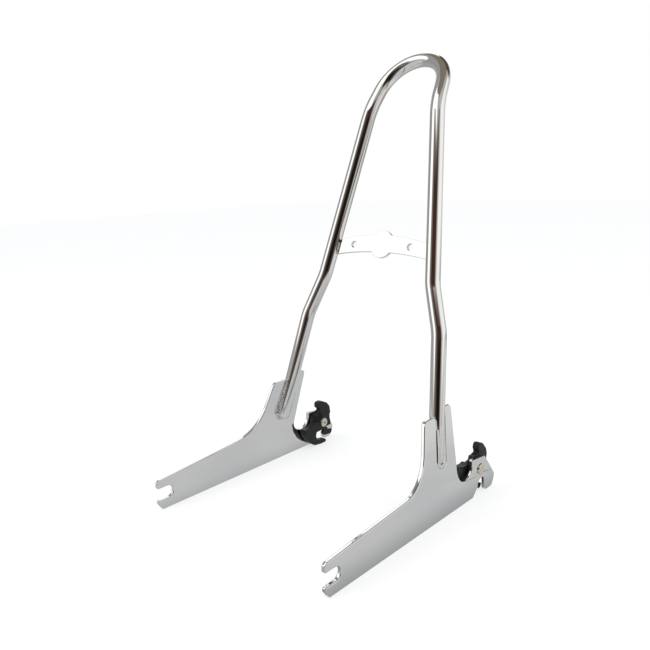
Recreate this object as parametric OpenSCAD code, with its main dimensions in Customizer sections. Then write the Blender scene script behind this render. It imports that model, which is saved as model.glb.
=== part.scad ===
// Detachable passenger backrest bar for a motorcycle: a bent tube hoop between two
// docking plates. X is across the vehicle, +Y points to the rear, +Z is up, and the
// bottom edges of the plates lie in the plane z = 0.

/* [Plates] */
// Distance between the middle planes of the two side plates
plate_span = 240; // [200:1:300]
// Thickness of a side plate
plate_t = 4.5; // [3:0.25:7]
// Height of the arm at its front end
arm_front_h = 33; // [31:0.5:45]
// Upward slope of the arm's top edge, in degrees
arm_slope = 5; // [2:0.25:8]
// Radius of the hollow between arm and neck
arm_fillet_r = 61; // [30:1:70]
// Angle of the neck's front edge above the horizontal, in degrees
neck_front_angle = 70.2; // [66:0.2:75]
// Height of the front prong
front_prong_h = 102.3; // [90:0.5:115]
// Width of the front prong at its top, from the neck's front edge to the tube's slot
front_prong_w = 19.9; // [15:0.1:24]
// Height of the rear prong
rear_prong_h = 107.6; // [95:0.5:120]
// Backward slope of the rear prong's rear edge, in degrees
neck_rear_angle = 8.2; // [5:0.2:12]
// Corner radius at the top of the prongs
prong_r = 6; // [2:0.25:7]
// Corner radius beside the tube at the top of the prongs
prong_slot_r = 4; // [1:0.25:5]
// Small corner radius along the rest of the outline
corner_r = 1.5; // [0.5:0.25:2.5]

/* [Neck bend] */
// Angle at which the neck leans inwards, in degrees
bend_angle = 11.8; // [6:0.2:14]
// Middle radius of that bend
bend_r = 40; // [20:1:60]
// Distance from the front corner to the front end of the bend line on the arm's top
bend_front = 95.5; // [80:0.5:110]

/* [Front fork slot] */
// Width of the slot that slides over the front docking post
fork_w = 13; // [10:0.25:15]
// Height of the slot's middle line
fork_z = 17.5; // [16:0.25:20]
// Distance from the front corner to the centre of the slot's round end
fork_depth = 8; // [2:0.5:12]
// Distance that the tines reach in front of the front corner
tine_reach = 5; // [3:0.5:8]
// Height of the slope under the lower tine
tine_chamfer = 7.2; // [4:0.2:8.5]
// Corner radius at the tips of the tines
tine_r = 2.2; // [1:0.1:3]

/* [Rear docking slot] */
// Width of the slot that drops over the rear docking post
dock_w = 14; // [10:0.25:15]
// Distance from the round notch's centre to the slot's middle line
dock_gap = 31.5; // [28:0.5:40]
// Height of the centre of the slot's round top
dock_z = 10.3; // [9:0.1:12]
// Distance from the slot's front wall to the end of the plate's bottom edge
dock_lead = 10.1; // [6:0.1:14]
// Corner radius at the bottom of the slot's rear wall
dock_rear_r = 4; // [1:0.5:6]

/* [Hook] */
// Distance from the tube's foot to the centre of the round notch
notch_gap = 36.3; // [33:0.1:40]
// Height of the centre of the round notch
notch_z = 38.5; // [36:0.5:42]
// Radius of the round notch
notch_r = 13.3; // [11:0.1:14]
// Height of the hook's tip
hook_tip_h = 43.2; // [42:0.2:48]
// Length of the hook's top edge
hook_len = 25.7; // [20:0.5:30]
// Drop of the hook's top edge towards the rear
hook_drop = 3.2; // [1:0.2:6]
// Distance from the docking slot's middle line to the beak's point
beak_reach = 28.4; // [24:0.1:34]
// Height of the beak's point
beak_h = 12; // [9:0.5:16]
// Width of the flat under the beak, from the slot's rear wall
beak_foot = 15; // [12:0.5:19]

/* [Tube hoop] */
// Outer diameter of the tube
tube_d = 15.8; // [14:0.1:18]
// Wall of the tube
tube_wall = 2; // [1.2:0.1:3]
// Distance from the front corner to the centre of the tube's round foot
foot_y = 172.2; // [168:0.2:176]
// Height of the centre of the tube's round foot
foot_z = 59.3; // [57:0.1:64]
// Distance that the tube's axis lies inside the neck's middle plane at the foot
foot_inset = 4.95; // [3:0.05:6]
// Height of the closed end above the centre of the rounded foot
foot_plug = 2; // [0:0.25:8]
// Inward lean of the lower legs, in degrees
low_in = 8.42; // [5:0.1:11]
// Backward lean of the lower legs, in degrees
low_back = 15.5; // [12:0.25:19]
// Height at which the jog starts
jog_start = 178.9; // [165:0.5:190]
// Height at which the jog ends
jog_end = 224.7; // [214:0.5:235]
// Backward lean of the jog, in degrees
jog_back = 17.1; // [12:0.25:20]
// Bend radius of the jog
jog_r = 60; // [40:1:70]
// Inward lean of the upper legs, in degrees
up_in = 9.15; // [7:0.1:11]
// Backward lean of the upper legs, in degrees
up_back = 16.6; // [12:0.25:20]
// Height of the backward bend
back_bend_z = 409.9; // [380:0.5:440]
// Radius of the backward bend
back_bend_r = 80; // [50:1:90]
// Backward lean of the top, in degrees
top_back = 34.6; // [28:0.25:40]
// Length of straight leg between the backward bend and the arch
arch_leg = 24.2; // [20:0.2:60]
// Middle radius of the arch
arch_r = 42.6; // [34:0.2:52]

/* [Crossbar] */
// Height of the crossbar's centre
bar_z = 262.6; // [245:0.5:300]
// Thickness of the crossbar
bar_t = 4; // [3:0.25:6]
// Distance of the crossbar's middle plane behind the axes of the legs
bar_back = 2.5; // [0:0.25:4]
// Height of the crossbar above its centre
bar_top_h = 10.2; // [8:0.1:13]
// Height of the crossbar below its centre
bar_low_h = 9; // [7:0.1:12]
// Radius of the crossbar's curved top edge
bar_top_r = 241; // [200:1:400]
// Radius of the crossbar's curved bottom edge
bar_low_r = 403; // [300:1:600]
// Diameter of the round boss in the middle
boss_d = 30.6; // [26:0.2:40]
// Distance between the two pad holes
pad_hole_span = 78; // [60:1:90]
// Diameter of a pad hole
pad_hole_d = 7.5; // [5:0.1:10]

/* [Latches] */
// Height of the pivot above the bottom edge
pivot_z = 28.2; // [27.6:0.1:30]
// Distance of the pivot in front of the docking slot's middle line
pivot_lead = 2.25; // [1:0.25:5]
// Thickness of the latch at the pivot
latch_t = 11; // [9:0.5:14]
// Thickness of the thumb tab and its neck
tab_t = 7.5; // [5:0.25:8]
// Radius of the bearing disc that faces the plate
disc_r = 15; // [13:0.5:16]
// Thickness of that disc, which keeps the claw off the plate
disc_t = 2; // [1:0.25:3]
// Angle of the right latch, turned open, in degrees
right_open = 22; // [0:1:22]
// Height of the thumb tab above the pivot
tab_h = 27; // [24:0.2:30]
// Width of the claw's mouth
mouth_w = 14.2; // [12:0.2:15]
// Distance that the claw's heel reaches in front of the pivot
heel_reach = 34.5; // [32:0.5:40]
// Distance that the claw's jaw reaches behind the pivot
jaw_reach = 3.5; // [-2:0.25:4]
// Distance that the striker reaches behind the pivot
striker_reach = 22.4; // [19:0.2:26]
// Thickness of the striker
striker_t = 3; // [2:0.25:4]
// Depth of the grip groove along the tab
grip_depth = 0.7; // [0.3:0.1:1.2]

/* [Pivots] */
// Diameter of the rivet's shank
rivet_d = 8; // [6:0.1:9]
// Diameter of the rivet's outer head
outer_head_d = 12.5; // [11:0.25:14]
// Height of the rivet's outer head
outer_head_h = 1.9; // [1:0.1:2.5]
// Diameter of the rivet's inner head
inner_head_d = 10.4; // [10:0.1:12]
// Height of the rivet's inner head
inner_head_h = 1.3; // [1:0.1:3]
// Wall of the sleeve between rivet and latch
sleeve_wall = 1; // [0.75:0.05:1.25]
// Diameter of the washer
washer_d = 11.5; // [11:0.25:14]
// Thickness of the washer
washer_t = 0.8; // [0.6:0.1:2]

/* [Welds] */
// Radius of the rough beads inside the plates
bead_r = 2.3; // [1.5:0.1:3]
// Depth of the smooth outer welds below the plate's face
fill_recess = 1.2; // [0.5:0.1:2]
// Radius of the beads at the crossbar's ends
bar_bead_r = 1.9; // [1.2:0.1:2.5]

/* [Clearances] */
// Gap between welded pieces at the weld's root
root_gap = 0.1; // [0.05:0.05:0.3]
// Gap on each side of a latch along its pivot
side_gap = 0.25; // [0.15:0.05:0.5]
// Radial clearance of a latch on its sleeve
pivot_gap = 0.05; // [0.02:0.01:0.1]
// Radial clearance of a rivet in the plate and the sleeve
rivet_gap = 0.05; // [0.02:0.01:0.1]

/* [Hidden] */
$fn = 72;

tube_r = tube_d / 2;
// Distances from the front corner to the round notch and to the rear docking slot
notch_y = foot_y + notch_gap;
dock_y = notch_y + dock_gap;
bend_lap = 1;
bend_swell = 0.06;
foot_flat = 0.3;
plate_x = plate_span / 2;

// Vectors
function unit(v) = v / norm(v);
function turn(a, b, c) = acos(min(1, max(-1, unit(b - a) * unit(c - b))));

// Corner points [y, z, radius] turned into an outline with rounded corners
function arc_points(o, r, a, sweep, n) =
    [for (i = [0:n]) o + r * [cos(a + sweep * i / n), sin(a + sweep * i / n)]];
function corner(a, b, c, r) =
    let (u = unit(a - b), v = unit(c - b), half = acos(min(1, max(-1, u * v))) / 2,
         lead = min(r / tan(half), 0.48 * norm(a - b), 0.48 * norm(c - b)),
         rr = lead * tan(half),
         o = b + unit(u + v) * rr / sin(half),
         p = b + u * lead, q = b + v * lead,
         pa = atan2(p[1] - o[1], p[0] - o[0]), qa = atan2(q[1] - o[1], q[0] - o[0]),
         d = qa - pa, sweep = d > 180 ? d - 360 : (d < -180 ? d + 360 : d))
    arc_points(o, rr, pa, sweep, max(3, ceil(abs(sweep) / (r > 20 ? 3 : 10))));
function round_end(o, r, a, sweep) =
    [for (p = arc_points(o, r, a, sweep, 24)) [p[0], p[1], 0]];
function xy(p) = [p[0], p[1]];
function rounded(pts) =
    let (n = len(pts))
    [for (i = [0:n - 1])
        let (a = xy(pts[(i + n - 1) % n]), b = xy(pts[i]), c = xy(pts[(i + 1) % n]))
        each (pts[i][2] > 0 ? corner(a, b, c, pts[i][2]) : [b])];

// Side plate: places
// Side wall of the tube slot, front (-1) or rear (1), at a height
function slot_wall(side, z) =
    foot_y + side * (tube_r + root_gap) / cos(low_back) + (z - foot_z) * tan(low_back);
// Top corner of the front prong, and the point where the arm's top edge would meet
// the neck's front edge
prong_y = slot_wall(-1, front_prong_h) - front_prong_w;
arm_corner_y = (prong_y - (front_prong_h - arm_front_h - 1.3 * tan(arm_slope)) / tan(neck_front_angle))
    / (1 - tan(arm_slope) / tan(neck_front_angle));
arm_corner = [arm_corner_y, arm_front_h + (arm_corner_y + 1.3) * tan(arm_slope)];
// The bend line runs from the arm's top edge to the bottom of the round notch
bend_a = [bend_front, arm_front_h + (bend_front + 1.3) * tan(arm_slope)];
bend_b = [notch_y, notch_z - notch_r];
bend_dir = unit(bend_b - bend_a);
bend_up = [-bend_dir[1], bend_dir[0]];
bend_turn = atan2(bend_up[1], bend_up[0]);
// Middle plane of the neck, as x over a place in the side view
function above_bend(y, z) = bend_up * ([y, z] - bend_b);
function neck_x(y, z) =
    let (s = above_bend(y, z))
    s <= 0 ? plate_x
    : s < bend_r * sin(bend_angle) ? plate_x - bend_r + sqrt(bend_r * bend_r - s * s)
    : plate_x - bend_r + bend_r * cos(bend_angle) - (s - bend_r * sin(bend_angle)) * tan(bend_angle);

// Tube: path
foot = [neck_x(foot_y, foot_z) - foot_inset, foot_y, foot_z];
// Half angle between the legs of the arch, in the arch's own plane
arch_half = atan(tan(up_in) * cos(top_back));
half_w3 = arch_r * cos(arch_half) + arch_leg * sin(arch_half);
half_w2 = half_w3 + (back_bend_z - jog_end) * tan(up_in);
p1 = foot + (jog_start - foot_z) * [-tan(low_in), tan(low_back), 1];
p2 = [half_w2, p1[1] + (jog_end - jog_start) * tan(jog_back), jog_end];
p3 = [half_w3, p2[1] + (back_bend_z - jog_end) * tan(up_back), back_bend_z];
peak = p3 + half_w3 / tan(up_in) * [-tan(up_in), tan(top_back), 1];
function other(p) = [-p[0], p[1], p[2]];
path = [foot, p1, p2, p3, peak, other(p3), other(p2), other(p1), other(foot)];
radii = [0, jog_r, jog_r, back_bend_r, arch_r, back_bend_r, jog_r, jog_r, 0];
low_dir = unit(p1 - foot);
up_dir = unit(p3 - p2);

// The origin lies in the middle of the whole length from tine tips to arch
apex_drop = arch_r / sin(arch_half) - arch_r;
apex_y = peak[1] - apex_drop * sin(top_back);
y_mid = (apex_y + tube_r - tine_reach) / 2;

// Crossbar: places
bar_y = p2[1] + (bar_z - p2[2]) * tan(up_back);
bar_leg_x = half_w2 - (bar_z - p2[2]) * tan(up_in);
bar_front = bar_t / 2 - bar_back;

// Latch and pivot: places
pivot_y = dock_y - pivot_lead;
// Distances inwards from the middle plane of the plate
latch_a = plate_t / 2 + side_gap;
claw_a = latch_a + disc_t;
washer_a = latch_a + latch_t + side_gap;
head_a = washer_a + washer_t;
sleeve_r = rivet_d / 2 + rivet_gap + sleeve_wall;

module sides(right) {
    if (right) children();
    else mirror([1, 0, 0]) children();
}
module place() translate([0, -y_mid, 0]) children();

// Turns the z axis to a direction
module aim(v) rotate([0, acos(v[2] / norm(v)), atan2(v[1], v[0])]) children();
module rod(a, b, r) translate(a) aim(b - a) cylinder(h = norm(b - a), r = r);
// The same with round ends
module bead(a, b, r) translate(a) aim(b - a) rotate_extrude() intersection() {
    union() {
        circle(r = r, $fn = 48);
        square([r, norm(b - a)]);
        translate([0, norm(b - a)]) circle(r = r, $fn = 48);
    }
    translate([0, -r]) square([r, norm(b - a) + 2 * r]);
}

// Round bar along a path with bends. A bend is a hair thicker than the straight runs,
// whose ends reach a little way into it.
module bent_rod(p, rad, r) {
    n = len(p) - 1;
    lead = [for (i = [0:n]) (i == 0 || i == n) ? 0 : rad[i] * tan(turn(p[i - 1], p[i], p[i + 1]) / 2)];
    for (i = [0:n - 1]) {
        u = unit(p[i + 1] - p[i]);
        a = i == 0 ? 0 : lead[i] - bend_lap;
        b = i == n - 1 ? 0 : lead[i + 1] - bend_lap;
        rod(p[i] + u * a, p[i + 1] - u * b, r);
    }
    for (i = [1:n - 1]) {
        u1 = unit(p[i] - p[i - 1]);
        u2 = unit(p[i + 1] - p[i]);
        w = unit(u2 - (u2 * u1) * u1);
        z = cross(-w, u1);
        translate(p[i] - u1 * lead[i] + w * rad[i])
            rotate([atan2(u1[2], z[2]), -asin(-w[2]), atan2(-w[1], -w[0])])
                rotate_extrude(angle = turn(p[i - 1], p[i], p[i + 1]))
                    translate([rad[i], 0]) circle(r = r + bend_swell);
    }
}

// Side plate
notch_left = [notch_y, notch_z] + notch_r * [-cos(neck_rear_angle), sin(neck_rear_angle)];
hook_x = notch_y + notch_r;
dock_front = dock_y - dock_w / 2;
dock_rear = dock_y + dock_w / 2;

module plate_outline() {
    rear_y = notch_left[0] + (rear_prong_h - notch_left[1]) * tan(neck_rear_angle);
    polygon(rounded([
        [0, 0, corner_r],
        [-tine_reach, tine_chamfer, corner_r],
        [-tine_reach, fork_z - fork_w / 2, tine_r],
        each round_end([fork_depth, fork_z], fork_w / 2, -90, 180),
        [-tine_reach, fork_z + fork_w / 2, tine_r],
        [-tine_reach + 0.4, arm_front_h - 2.4, tine_r],
        [-1.3, arm_front_h, corner_r],
        [arm_corner[0], arm_corner[1], arm_fillet_r],
        [prong_y, front_prong_h, prong_r + 1.5],
        [slot_wall(-1, front_prong_h), front_prong_h, prong_slot_r],
        each round_end([foot_y, foot_z], tube_r + root_gap, 180 - low_back, 180),
        [slot_wall(1, rear_prong_h), rear_prong_h, corner_r],
        [rear_y, rear_prong_h, prong_r],
        each round_end([notch_y, notch_z], notch_r, 180 - neck_rear_angle, 180 + neck_rear_angle),
        [hook_x - 0.5, hook_tip_h, corner_r],
        [hook_x - 0.5 + hook_len, hook_tip_h - hook_drop, 4],
        [dock_y + beak_reach, beak_h, 8],
        [dock_rear + beak_foot, 0, 7],
        [dock_rear, 0, dock_rear_r],
        each round_end([dock_y, dock_z], dock_w / 2, 0, 180),
        [dock_front, dock_lead - 1, corner_r],
        [dock_front - dock_lead, 0, corner_r]
    ]));
}
// An outline in the side view, as a prism across the right plate
module side_prism() translate([plate_x + 15, 0, 0]) rotate([90, 0, -90]) mirror([1, 0, 0])
    linear_extrude(75) children();
// Sheet with the neck's bend, cut by in_cut and out_cut from its two faces
module bent_sheet(in_cut = 0, out_cut = 0) {
    a = -plate_t / 2 + in_cut;
    w = plate_t - in_cut - out_cut;
    translate([plate_x, bend_b[0], bend_b[1]]) rotate([bend_turn, 0, 0])
        linear_extrude(500, center = true) {
            translate([a, -80]) square([w, 80]);
            intersection() {
                translate([-bend_r, 0]) difference() {
                    circle(r = bend_r + a + w, $fn = 180);
                    circle(r = bend_r + a, $fn = 180);
                }
                translate([-bend_r, 0])
                    polygon([[0, 0], [2 * bend_r, 0], 2 * bend_r * [cos(bend_angle), sin(bend_angle)]]);
            }
            translate([-bend_r, 0]) rotate(bend_angle) translate([bend_r + a, 0]) square([w, 140]);
        }
}
module flat_sheet() translate([plate_x - plate_t / 2, -50, -50]) cube([plate_t, 400, 200]);

module plate_solid() {
    intersection() {
        side_prism() intersection() {
            plate_outline();
            translate([-50, -50]) square([notch_y + 50, 250]);
        }
        bent_sheet();
    }
    intersection() {
        side_prism() intersection() {
            plate_outline();
            translate([notch_y, -50]) square([150, 250]);
        }
        flat_sheet();
    }
}
module side_plate(right) color("silver") place() sides(right) difference() {
    plate_solid();
    translate([plate_x, pivot_y, pivot_z]) rotate([0, 90, 0])
        cylinder(h = 3 * plate_t, r = rivet_d / 2 + rivet_gap, center = true);
}

// Hoop
// Closed, rounded foot of a leg, with a small flat at the tip
module foot_end() translate(foot) aim(-low_dir) rotate_extrude() intersection() {
    circle(r = tube_r - bend_swell);
    translate([0, -1]) square([tube_r, tube_r + 1 - foot_flat]);
}
module hoop() color("gainsboro") place() difference() {
    union() {
        bent_rod(path, radii, tube_r);
        foot_end();
        mirror([1, 0, 0]) foot_end();
    }
    bent_rod([for (i = [0:8]) i == 0 ? foot + foot_plug * low_dir
        : i == 8 ? other(foot + foot_plug * low_dir) : path[i]], radii, tube_r - tube_wall);
}

// Crossbar
// Frame of the crossbar: x across, y up along the legs, z to the front
module bar_frame() translate([0, bar_y, bar_z]) rotate([90 - up_back, 0, 0]) children();
function bar_middle(x) =
    (bar_top_h - bar_low_h - x * x / (2 * bar_top_r) - x * x / (2 * bar_low_r)) / 2;
module leg_space(gap) rod(p2 + 10 * up_dir, p3 - 20 * up_dir, tube_r + gap);
module bar_outline() {
    intersection() {
        translate([0, bar_top_h - bar_top_r]) circle(r = bar_top_r, $fn = 360);
        difference() {
            translate([-bar_leg_x, -40]) square([2 * bar_leg_x, 80]);
            translate([0, -bar_low_h - bar_low_r]) circle(r = bar_low_r, $fn = 360);
        }
    }
    circle(d = boss_d);
}
module crossbar() color("whitesmoke") place() difference() {
    bar_frame() translate([0, 0, bar_front - bar_t]) difference() {
        linear_extrude(bar_t) bar_outline();
        for (s = [-1, 1]) translate([s * pad_hole_span / 2, bar_middle(pad_hole_span / 2), -1])
            cylinder(h = bar_t + 2, d = pad_hole_d);
    }
    leg_space(root_gap);
    mirror([1, 0, 0]) leg_space(root_gap);
}

// Welds
// Smooth fill of the slot around the tube
module outer_weld(right) color("silver") place() sides(right) difference() {
    intersection() {
        side_prism() polygon(rounded([
            each round_end([foot_y, foot_z], tube_r + root_gap, 180 - low_back, 180),
            [slot_wall(1, front_prong_h - prong_slot_r), front_prong_h - prong_slot_r, 0],
            [slot_wall(-1, front_prong_h - prong_slot_r), front_prong_h - prong_slot_r, 0]]));
        bent_sheet(out_cut = fill_recess);
    }
    rod(foot, p1, tube_r);
    foot_end();
}
// Line of a bead on the inner face, front (-1) or rear (1), at a height
function bead_point(side, z) =
    let (y = slot_wall(side, z)) [neck_x(y, z) - plate_t / 2, y, z];
module inner_weld(right) color("gray") place() sides(right) difference() {
    for (side = [-1, 1]) {
        top = (side < 0 ? front_prong_h : rear_prong_h) - bead_r - corner_r;
        bead(bead_point(side, foot_z + 2), bead_point(side, top), bead_r);
    }
    rod(foot - 3 * tube_r * low_dir, p1, tube_r);
    bent_sheet();
}
module bar_bead(side) {
    h0 = -bar_low_h - bar_leg_x * bar_leg_x / (2 * bar_low_r);
    h1 = bar_top_h - bar_leg_x * bar_leg_x / (2 * bar_top_r);
    z = side > 0 ? bar_front : bar_front - bar_t;
    // Distance at which the tube's wall meets the crossbar's face
    w = sqrt(tube_r * tube_r - z * z);
    lean = tan(arch_half_up);
    translate([0, 0, z]) bead([bar_leg_x - w - lean * h0, h0 + bar_bead_r, 0],
        [bar_leg_x - w - lean * h1, h1 - bar_bead_r, 0], bar_bead_r);
}
// Half angle between the upper legs in their own plane
arch_half_up = atan(tan(up_in) * cos(up_back));
module crossbar_weld(right) color("silver") place() sides(right) difference() {
    bar_frame() for (side = [-1, 1]) bar_bead(side);
    leg_space(0);
    bar_frame() translate([0, -40, bar_front - bar_t]) cube([2 * bar_leg_x, 80, bar_t]);
}

// Latch
// Places around the pivot: first value to the rear, second value up, latch closed
mouth_top = -8.8;
mouth_low = mouth_top - mouth_w;
jaw_low = -pivot_z + 0.5;
// Thumb tab on its neck
module tab_outline() polygon(rounded([
    [-4.8, tab_h - 0.6, 3.4],
    [3, tab_h, 4],
    [11.6, tab_h - 4.2, 5],
    [16.4, tab_h - 10, 5],
    [17.8, 7.4, 1],
    [10, 3, 0],
    [-9, 3, 0],
    [-9.4, 11.4, 2],
    [-3, 12.6, 2],
    [-0.6, 16.2, 2],
    [-4.8, tab_h - 6.8, 2.5]]));
module boss_outline() polygon(rounded([
    [-6.2, 11, 2],
    [-2, 14.6, 3],
    [7, 15, 3],
    [12.6, 8.8, 1.5],
    [12.2, 3.2, 3],
    [13.8, -3.8, 2],
    [13.6, -6.9, 1.5],
    [7.8, -6.9, 3],
    [-1.5, mouth_top, 6],
    [-11.4, mouth_top + 1, 4],
    [-16.4, -2, 4],
    [-15, 6, 5.5]]));
module claw_outline() polygon(rounded([
    [-6, 3, 0],
    [-14.6, 3.6, 3],
    [-19, 0.8, 3],
    [-24, -0.8, 4],
    [-heel_reach, -1.6, 1.5],
    [-heel_reach + 1.2, -8.5, 8],
    [-heel_reach + 7.5, -18.8, 10],
    [-18, jaw_low + 1.5, 10],
    [-5, jaw_low, 6],
    [jaw_reach - 0.2, jaw_low + 0.2, 1.6],
    [jaw_reach, mouth_low - 0.5, 1.6],
    [-4.2, mouth_low, 3],
    [-11.6, mouth_low + 2.2, 4],
    [-14.6, mouth_low + 8.4, 4],
    [-12.2, mouth_top - 0.4, 3],
    [-8, mouth_top + 1, 0]]));
// Leg that the docking post pushes up when the bar is dropped into place
module striker_outline() polygon(rounded([
    [2, -4, 0],
    [9.5, -5, 0],
    [10.2, -15.4, 2],
    [striker_reach, -16.6, 1.2],
    [striker_reach - 2.4, -22.7, 2.6],
    [6.5, -21.4, 3],
    [2.6, -17.4, 0.6],
    [6, -13.6, 2]]));
// An outline around the pivot as a plate between two distances from the middle plane
module latch_slice(a0, a1) translate([plate_x - a0, 0, 0]) rotate([90, 0, -90]) mirror([1, 0, 0])
    linear_extrude(a1 - a0) children();
// Space beyond a slope that starts on the line through p at an angle, a0 from the plate's
// middle plane, and falls back by the given share of the thickness
module slope_cut(p, angle, a0, share) translate([plate_x, p[0], p[1]]) rotate([90 + angle, 0, 0])
    translate([0, 0, -40]) linear_extrude(40)
        polygon([[-a0, 0], [-a0 - 20, -20 * share], [-a0 - 20, 20], [-a0, 20]]);
module latch(right) color("#26282a") place() sides(right)
    translate([0, pivot_y, pivot_z]) rotate([right ? -right_open : 0, 0, 0]) difference() {
        union() {
            latch_slice(latch_a, latch_a + disc_t) circle(r = disc_r);
            latch_slice(latch_a, latch_a + tab_t) tab_outline();
            difference() {
                latch_slice(claw_a, latch_a + latch_t) boss_outline();
                // Slopes towards the front and up to the tab
                slope_cut([-16.4, -3], 58, latch_a + 5.5, 1.2);
                slope_cut([-20, 15], 0, latch_a + tab_t, 1.6);
            }
            latch_slice(claw_a, latch_a + latch_t) claw_outline();
            latch_slice(claw_a, claw_a + striker_t) striker_outline();
        }
        translate([plate_x, 0, 0]) rotate([0, -90, 0])
            cylinder(h = 4 * latch_t, r = sleeve_r + pivot_gap, center = true);
        // Grip grooves across the top of the tab
        for (i = [0:3]) translate([plate_x - latch_a, 3.2 + 2.4 * i, tab_h - 0.2 - 1.17 * i])
            rotate([0, -90, 0]) translate([0, 0, -1]) cylinder(h = tab_t + 2, r = grip_depth);
    }

// Pivot
// Profiles are turned about the pivot's axis, which points inwards
module on_pivot() translate([plate_x, pivot_y, pivot_z]) rotate([0, -90, 0]) children();
module rivet(right) color("tan") place() sides(right) on_pivot() {
    rim_r = outer_head_h - 0.1;
    difference() {
        union() {
            // Outer head: a flat face with a round rim
            translate([0, 0, -plate_t / 2]) mirror([0, 0, 1]) rotate_extrude() intersection() {
                square([outer_head_d / 2, outer_head_h]);
                union() {
                    square([outer_head_d / 2 - rim_r, outer_head_h]);
                    translate([outer_head_d / 2 - rim_r, outer_head_h - rim_r]) circle(r = rim_r);
                }
            }
            translate([0, 0, -plate_t / 2 - 0.1]) cylinder(h = head_a + plate_t / 2 + 0.2, d = rivet_d);
            // Inner head with a bevelled edge
            translate([0, 0, head_a]) cylinder(h = 0.6 * inner_head_h, d = inner_head_d);
            translate([0, 0, head_a + 0.6 * inner_head_h])
                cylinder(h = 0.4 * inner_head_h, d1 = inner_head_d, d2 = inner_head_d - inner_head_h);
        }
        // Dimple left by the riveting tool
        translate([0, 0, head_a + inner_head_h]) sphere(r = inner_head_h);
    }
}
module sleeve(right) color("gray") place() sides(right) on_pivot()
    translate([0, 0, plate_t / 2]) difference() {
        cylinder(h = washer_a - plate_t / 2, r = sleeve_r);
        translate([0, 0, -1]) cylinder(h = washer_a - plate_t / 2 + 2, r = rivet_d / 2 + rivet_gap);
    }
module washer(right) color("silver") place() sides(right) on_pivot()
    translate([0, 0, washer_a]) difference() {
        cylinder(h = washer_t, d = washer_d);
        translate([0, 0, -1]) cylinder(h = washer_t + 2, r = rivet_d / 2 + rivet_gap);
    }

hoop();
side_plate(false);  // side_plate_left
side_plate(true);  // side_plate_right
crossbar();
outer_weld(false);  // outer_weld_left
outer_weld(true);  // outer_weld_right
inner_weld(false);  // inner_weld_left
inner_weld(true);  // inner_weld_right
crossbar_weld(false);  // crossbar_weld_left
crossbar_weld(true);  // crossbar_weld_right
latch(false);  // latch_left
latch(true);  // latch_right
rivet(false);  // rivet_left
rivet(true);  // rivet_right
sleeve(false);  // sleeve_left
sleeve(true);  // sleeve_right
washer(false);  // washer_left
washer(true);  // washer_right
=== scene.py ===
# Chromed passenger backrest bar on a white table. X is across the vehicle, +Y points to
# the rear, +Z is up, and the plates stand on z = 0. Blender's unit is the metre.
import math

import bmesh
import bpy
from mathutils import Matrix, Vector


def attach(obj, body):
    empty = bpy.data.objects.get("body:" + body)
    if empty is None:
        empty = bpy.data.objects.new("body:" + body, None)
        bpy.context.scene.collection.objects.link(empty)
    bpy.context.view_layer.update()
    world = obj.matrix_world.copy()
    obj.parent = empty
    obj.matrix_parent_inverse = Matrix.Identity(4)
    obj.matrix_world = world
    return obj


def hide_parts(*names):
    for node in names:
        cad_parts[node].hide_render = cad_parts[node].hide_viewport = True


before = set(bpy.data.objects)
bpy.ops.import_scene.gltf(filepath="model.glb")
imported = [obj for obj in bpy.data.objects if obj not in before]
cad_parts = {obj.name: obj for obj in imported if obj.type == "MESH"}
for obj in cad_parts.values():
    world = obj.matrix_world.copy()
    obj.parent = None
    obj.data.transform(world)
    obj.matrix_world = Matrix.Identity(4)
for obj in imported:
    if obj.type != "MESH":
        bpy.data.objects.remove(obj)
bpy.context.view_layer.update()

MM = 0.001
# Sizes below are in millimetres from the plates' bottom front corner, which lies
# this far in front of the frame's origin
CORNER_TO_ORIGIN = 156.1009

# Plates
PLATE_X = 120.0
PLATE_T = 4.5
BEND_R = 40.0
BEND_ANGLE = math.radians(11.8)
BEND_LINE_POINT = (208.5, 25.2)
BEND_UP = (0.1425, 0.9898)
BEND_STEPS = 12
NOTCH_Y = 208.5
PLATE_EDGE_R = 1.1

# Edges of plates and crossbar: steps of the rounding, least angle of an edge that gets it,
# and the angle past which the shading stays sharp
EDGE_STEPS = 3
EDGE_ANGLE = math.radians(40)
SHARP_ANGLE = math.radians(50)

# Tube. A thickness along its line is a share of the tube's own
TUBE_R = 7.9
ROUND_SIDES = 72
BEND_SIDES = 40
FOOT = (109.943, 172.2, 59.3)
LEG_CORNERS = [(92.239, 205.368, 178.9), (75.241, 219.458, 224.7), (45.411, 274.668, 409.9)]
LEG_BENDS = [60.0, 60.0, 80.0]
PEAK = (0.0, 469.163, 691.835)
ARCH_R = 42.6
FOOT_DOME = 7.6
DOME_END = math.radians(88.5)
DOME_STEPS = 14

# Crossbar. Its lower and upper edges are arcs: height at the middle, then the arc's radius
BAR_EDGE_R = 0.5
BAR_CENTRE = (0.0, 230.756, 262.6)
BAR_LEAN = math.radians(16.6)
BAR_FRONT, BAR_BACK = -0.5, -4.5
BAR_END_X = 69.137
BAR_LOW, BAR_LOW_ARC_R = -9.0, 403.0
BAR_HIGH, BAR_HIGH_ARC_R = 10.2, 241.0
LEG_LEAN_IN = math.atan(math.tan(math.radians(9.15)) * math.cos(BAR_LEAN))
BAR_BEAD_R = 1.9

# Welds at the feet. The slot for the tube leans back as the lower leg does
BEAD_R = 2.3
SLOT_HALF = 8.0
LOW_BACK = math.radians(15.5)
BEAD_BOTTOM_RISE = 2
BEAD_TOP_FRONT, BEAD_TOP_REAR = 98.5, 103.8
PAD_GAP = 0.4
PAD_STAND = 0.5

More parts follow.
